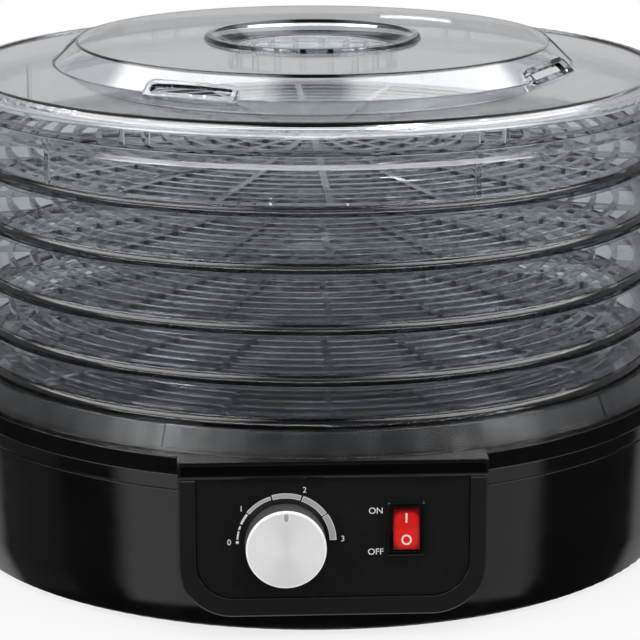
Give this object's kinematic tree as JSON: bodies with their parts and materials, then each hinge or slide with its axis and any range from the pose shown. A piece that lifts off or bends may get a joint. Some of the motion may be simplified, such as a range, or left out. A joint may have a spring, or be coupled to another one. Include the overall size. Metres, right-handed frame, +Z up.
{
  "type": "food dehydrator",
  "caption": "Round food dehydrator: gloss black fan and heater base with thermostat knob and rocker switch, stacked smoked clear trays with open floors and a vented lid.",
  "frame": {"origin": "on the table under the middle of the stack, level with the undersides of the feet", "axes": "+Z up along the stack, -Y to the front where the control panel is, +X to the right seen from the front"},
  "size_m": [0.3254, 0.3485, 0.2237],
  "materials": {
    "gloss_black": "polished moulding",
    "satin_black": "satin moulding",
    "rubber_black": "soft, matt",
    "white_insulator": "matt heat-proof moulding",
    "bright_steel": "zinc plated",
    "knob_metal": "turned face with fine circular brushing",
    "lamp_red": "clear red, lit from behind",
    "heater_metal": "heat-darkened sheath",
    "core_steel": "varnished laminations",
    "coil_copper": "enamelled winding",
    "bush_bronze": "sintered bronze",
    "smoked_clear": "clear smoked grey"
  },
  "bodies": {
    "base": {"base_housing": "gloss_black", "base_deck": "gloss_black", "panel_bezel": "gloss_black", "panel_plate": "gloss_black", "outlet_grille": "satin_black", "bottom_cover": "satin_black", "switch_case": "satin_black", "air_duct": "satin_black", "rubber_feet": "rubber_black", "cord_gland": "rubber_black", "thermostat_body": "white_insulator", "terminal_block": "white_insulator", "heater_bushes": "white_insulator", "thermostat_nut": "bright_steel", "heat_shield": "bright_steel", "heater_clips": "bright_steel", "thermal_fuse": "bright_steel", "motor_bracket_lower": "bright_steel", "motor_bracket_upper": "bright_steel", "case_screws": "bright_steel", "motor_screws": "bright_steel", "bezel_screws": "bright_steel", "heater_element": "heater_metal", "motor_core": "core_steel", "motor_coil": "coil_copper", "motor_bushes": "bush_bronze"},
    "knob": {"knob_body": "satin_black", "knob_face": "knob_metal", "thermostat_shaft": "bright_steel"},
    "rocker": {"rocker_button": "lamp_red"},
    "fan": {"motor_rotor": "core_steel", "motor_shaft": "bright_steel", "fan_impeller": "satin_black"},
    "ring": {"base_ring": "smoked_clear"},
    "tray_1": {"tray_1_hoop": "smoked_clear", "tray_1_grid": "smoked_clear"},
    "tray_2": {"tray_2_hoop": "smoked_clear", "tray_2_grid": "smoked_clear"},
    "tray_3": {"tray_3_hoop": "smoked_clear", "tray_3_grid": "smoked_clear"},
    "tray_4": {"tray_4_hoop": "smoked_clear", "tray_4_grid": "smoked_clear"},
    "tray_5": {"tray_5_hoop": "smoked_clear", "tray_5_grid": "smoked_clear"},
    "lid": {"lid": "smoked_clear"}
  },
  "joints": [
    {"name": "knob_turn", "type": "hinge", "parent": "base", "child": "knob", "pos_m": [-0.0193, -0.1644, 0.04195], "axis": [0, 1, 0], "range_deg": [-90, 90]},
    {"name": "switch_rock", "type": "hinge", "parent": "base", "child": "rocker", "pos_m": [0.0294, -0.1642, 0.04695], "axis": [1, 0, 0], "range_deg": [0, 18]},
    {"name": "fan_spin", "type": "hinge", "parent": "base", "child": "fan", "pos_m": [0, 0, 0.03], "axis": [0, 0, 1], "continuous": true},
    {"name": "ring_lift", "type": "slide", "parent": "base", "child": "ring", "axis": [0, 0, 1], "range_m": [0, 0.03]},
    {"name": "tray_1_lift", "type": "slide", "parent": "ring", "child": "tray_1", "axis": [0, 0, 1], "range_m": [0, 0.04]},
    {"name": "tray_2_lift", "type": "slide", "parent": "tray_1", "child": "tray_2", "axis": [0, 0, 1], "range_m": [0, 0.04]},
    {"name": "tray_3_lift", "type": "slide", "parent": "tray_2", "child": "tray_3", "axis": [0, 0, 1], "range_m": [0, 0.04]},
    {"name": "tray_4_lift", "type": "slide", "parent": "tray_3", "child": "tray_4", "axis": [0, 0, 1], "range_m": [0, 0.04]},
    {"name": "tray_5_lift", "type": "slide", "parent": "tray_4", "child": "tray_5", "axis": [0, 0, 1], "range_m": [0, 0.04]},
    {"name": "lid_lift", "type": "slide", "parent": "tray_5", "child": "lid", "axis": [0, 0, 1], "range_m": [0, 0.06]}
  ]
}
